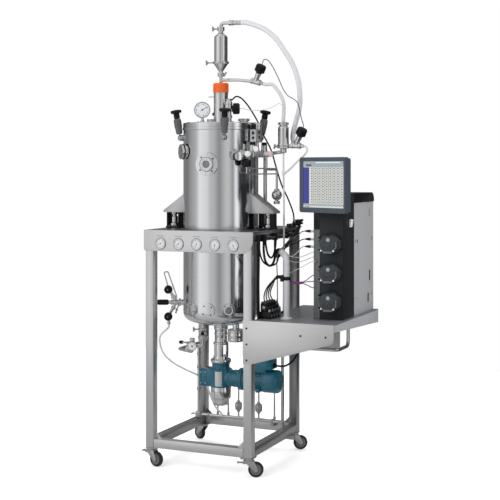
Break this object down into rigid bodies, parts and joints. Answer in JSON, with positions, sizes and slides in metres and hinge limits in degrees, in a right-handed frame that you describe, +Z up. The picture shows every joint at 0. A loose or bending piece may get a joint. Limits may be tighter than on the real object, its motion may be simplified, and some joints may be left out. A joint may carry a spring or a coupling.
{
  "type": "bench bioreactor",
  "caption": "Stirred steel bioreactor on a caster skid, with lid fittings, a bottom drive and a side control tower with pumps and a tilting monitor.",
  "frame": {"origin": "middle of the footprint on the floor, the free hoses and the cable left out", "axes": "+Z up, the gauge panel and the pumps face -Y, the control tower stands towards +X"},
  "size_m": [1.1356, 0.7054, 2.2819],
  "materials": {
    "brushed_sheet": "satin stainless sheet and tube, brushed along its length",
    "polished_steel": "polished stainless steel",
    "zinc_plate": "bright zinc plate",
    "black_plastic": "fine-grained black moulding",
    "grey_plastic": "slate grey moulding",
    "dark_paint": "dark graphite powder coat",
    "teal_paint": "teal blue machine enamel",
    "orange_cap": "orange moulded cap",
    "black_rubber": "black rubber",
    "white_silicone": "translucent white silicone",
    "clear_glass": "clear borosilicate glass"
  },
  "bodies": {
    "skid": {"skid_frame": "brushed_sheet", "deck_plate": "brushed_sheet", "gauge_panel": "brushed_sheet", "vessel_lid": "polished_steel", "vessel_shell": "polished_steel", "sight_glass": "clear_glass", "lid_gauge": "polished_steel", "lid_valve": "brushed_sheet", "exhaust_condenser": "polished_steel", "condenser_cap": "orange_cap", "exhaust_filter": "polished_steel", "bypass_valve": "brushed_sheet", "inlet_filter": "polished_steel", "inlet_valve": "brushed_sheet", "utility_valves": "brushed_sheet", "exhaust_hose": "white_silicone", "bypass_hose": "white_silicone", "probe_cable": "black_rubber", "drive_housing": "polished_steel", "gearbox": "teal_paint", "motor_housing": "teal_paint", "shaft_cover": "polished_steel", "condensate_piping": "brushed_sheet", "sample_line": "polished_steel", "sample_hose": "white_silicone", "shelf_tray": "brushed_sheet", "shelf_bracket": "brushed_sheet", "solenoid_manifold": "black_plastic", "conduit_post": "grey_plastic", "tower_cabinet": "brushed_sheet", "tower_fascia": "dark_paint"},
    "fork_front_left": {"caster_fork_front_left": "zinc_plate"},
    "wheel_front_left": {"caster_wheel_front_left": "black_rubber"},
    "brake_front_left": {"caster_brake_front_left": "zinc_plate"},
    "fork_front_right": {"caster_fork_front_right": "zinc_plate"},
    "wheel_front_right": {"caster_wheel_front_right": "black_rubber"},
    "brake_front_right": {"caster_brake_front_right": "zinc_plate"},
    "fork_rear_left": {"caster_fork_rear_left": "zinc_plate"},
    "wheel_rear_left": {"caster_wheel_rear_left": "black_rubber"},
    "fork_rear_right": {"caster_fork_rear_right": "zinc_plate"},
    "wheel_rear_right": {"caster_wheel_rear_right": "black_rubber"},
    "nut_1": {"clamp_nut_1": "black_plastic"},
    "nut_2": {"clamp_nut_2": "black_plastic"},
    "nut_3": {"clamp_nut_3": "black_plastic"},
    "nut_4": {"clamp_nut_4": "black_plastic"},
    "stirrer": {"agitator": "polished_steel"},
    "rotor": {"motor_rotor": "zinc_plate"},
    "yoke": {"monitor_yoke": "black_plastic"},
    "screen": {"monitor": "grey_plastic"},
    "cover_1": {"pump_cover_1": "dark_paint"},
    "pump_1": {"pump_rotor_1": "grey_plastic"},
    "cover_2": {"pump_cover_2": "dark_paint"},
    "pump_2": {"pump_rotor_2": "grey_plastic"},
    "cover_3": {"pump_cover_3": "dark_paint"},
    "pump_3": {"pump_rotor_3": "grey_plastic"},
    "grip": {"sample_grip": "black_plastic"},
    "knob_upper": {"sample_knob_upper": "black_plastic"},
    "knob_lower": {"sample_knob_lower": "black_plastic"},
    "lever": {"drain_lever": "black_plastic"},
    "rocker": {"power_switch": "white_silicone"}
  },
  "joints": [
    {"name": "swivel_front_left", "type": "hinge", "parent": "skid", "child": "fork_front_left", "pos_m": [-0.50103, -0.32026, 0], "axis": [0, 0, 1], "continuous": true},
    {"name": "roll_front_left", "type": "hinge", "parent": "fork_front_left", "child": "wheel_front_left", "pos_m": [-0.46875, -0.32712, 0.038], "axis": [0.2079, 0.9781, 0], "continuous": true},
    {"name": "pedal_front_left", "type": "hinge", "parent": "fork_front_left", "child": "brake_front_left", "pos_m": [-0.52646, -0.31486, 0.0715], "axis": [0.2079, 0.9781, 0], "range_deg": [-18, 0]},
    {"name": "swivel_front_right", "type": "hinge", "parent": "skid", "child": "fork_front_right", "pos_m": [0.04297, -0.32026, 0], "axis": [0, 0, 1], "continuous": true},
    {"name": "roll_front_right", "type": "hinge", "parent": "fork_front_right", "child": "wheel_front_right", "pos_m": [0.07357, -0.3079, 0.038], "axis": [-0.3746, 0.9272, 0], "continuous": true},
    {"name": "pedal_front_right", "type": "hinge", "parent": "fork_front_right", "child": "brake_front_right", "pos_m": [0.01887, -0.33, 0.0715], "axis": [-0.3746, 0.9272, 0], "range_deg": [-18, 0]},
    {"name": "swivel_rear_left", "type": "hinge", "parent": "skid", "child": "fork_rear_left", "pos_m": [-0.50103, 0.28174, 0], "axis": [0, 0, 1], "continuous": true},
    {"name": "roll_rear_left", "type": "hinge", "parent": "fork_rear_left", "child": "wheel_rear_left", "pos_m": [-0.53094, 0.29568, 0.038], "axis": [-0.4226, -0.9063, 0], "continuous": true},
    {"name": "swivel_rear_right", "type": "hinge", "parent": "skid", "child": "fork_rear_right", "pos_m": [0.04297, 0.28174, 0], "axis": [0, 0, 1], "continuous": true},
    {"name": "roll_rear_right", "type": "hinge", "parent": "fork_rear_right", "child": "wheel_rear_right", "pos_m": [0.07155, 0.29824, 0.038], "axis": [-0.5, 0.866, 0], "continuous": true},
    {"name": "nut_turn_1", "type": "hinge", "parent": "skid", "child": "nut_1", "pos_m": [-0.41263, -0.17526, 1.6721], "axis": [-0.1355, -0.0782, 0.9877], "continuous": true},
    {"name": "nut_turn_2", "type": "hinge", "parent": "skid", "child": "nut_2", "pos_m": [-0.12303, -0.25286, 1.6721], "axis": [0.0782, -0.1355, 0.9877], "continuous": true},
    {"name": "nut_turn_3", "type": "hinge", "parent": "skid", "child": "nut_3", "pos_m": [-0.04543, 0.03674, 1.6721], "axis": [0.1355, 0.0782, 0.9877], "continuous": true},
    {"name": "nut_turn_4", "type": "hinge", "parent": "skid", "child": "nut_4", "pos_m": [-0.33503, 0.11433, 1.6721], "axis": [-0.0782, 0.1355, 0.9877], "continuous": true},
    {"name": "stirrer_turn", "type": "hinge", "parent": "skid", "child": "stirrer", "pos_m": [-0.22903, -0.06926, 0.7], "axis": [0, 0, 1], "continuous": true},
    {"name": "rotor_turn", "type": "hinge", "parent": "skid", "child": "rotor", "pos_m": [-0.08873, -0.06926, 0.42808], "axis": [1, 0, 0], "continuous": true},
    {"name": "monitor_swivel", "type": "hinge", "parent": "skid", "child": "yoke", "pos_m": [0.44445, -0.21863, 1.3383], "axis": [0, 0, 1], "range_deg": [-8, 50]},
    {"name": "monitor_tilt", "type": "hinge", "parent": "yoke", "child": "screen", "pos_m": [0.44445, -0.21863, 1.4343], "axis": [0.9272, -0.3746, 0], "range_deg": [-20, 5]},
    {"name": "cover_open_1", "type": "hinge", "parent": "skid", "child": "cover_1", "pos_m": [0.35797, -0.18756, 0.8623], "axis": [0, 0, -1], "range_deg": [0, 110]},
    {"name": "pump_turn_1", "type": "hinge", "parent": "skid", "child": "pump_1", "pos_m": [0.41697, -0.18156, 0.8623], "axis": [0, 1, 0], "continuous": true},
    {"name": "cover_open_2", "type": "hinge", "parent": "skid", "child": "cover_2", "pos_m": [0.35797, -0.18756, 1.0013], "axis": [0, 0, -1], "range_deg": [0, 110]},
    {"name": "pump_turn_2", "type": "hinge", "parent": "skid", "child": "pump_2", "pos_m": [0.41697, -0.18156, 1.0013], "axis": [0, 1, 0], "continuous": true},
    {"name": "cover_open_3", "type": "hinge", "parent": "skid", "child": "cover_3", "pos_m": [0.35797, -0.18756, 1.1453], "axis": [0, 0, -1], "range_deg": [0, 110]},
    {"name": "pump_turn_3", "type": "hinge", "parent": "skid", "child": "pump_3", "pos_m": [0.41697, -0.18156, 1.1453], "axis": [0, 1, 0], "continuous": true},
    {"name": "grip_turn", "type": "hinge", "parent": "skid", "child": "grip", "pos_m": [-0.47687, -0.17961, 0.8181], "axis": [-0.9135, -0.4067, 0], "continuous": true},
    {"name": "knob_upper_turn", "type": "hinge", "parent": "skid", "child": "knob_upper", "pos_m": [-0.46874, -0.19788, 0.8881], "axis": [0.4067, -0.9135, 0], "continuous": true},
    {"name": "knob_lower_turn", "type": "hinge", "parent": "skid", "child": "knob_lower", "pos_m": [-0.46874, -0.19788, 0.7481], "axis": [0.4067, -0.9135, 0], "continuous": true},
    {"name": "drain_turn", "type": "hinge", "parent": "skid", "child": "lever", "pos_m": [-0.41603, -0.07826, 0.59218], "axis": [0, 0, 1], "range_deg": [0, 90]},
    {"name": "power_rock", "type": "hinge", "parent": "skid", "child": "rocker", "pos_m": [0.47197, -0.05626, 1.2423], "axis": [0, 1, 0], "range_deg": [-10, 0]}
  ],
  "couplings": [
    {"joint": "rotor_turn", "follows": "stirrer_turn", "ratio": 7}
  ]
}
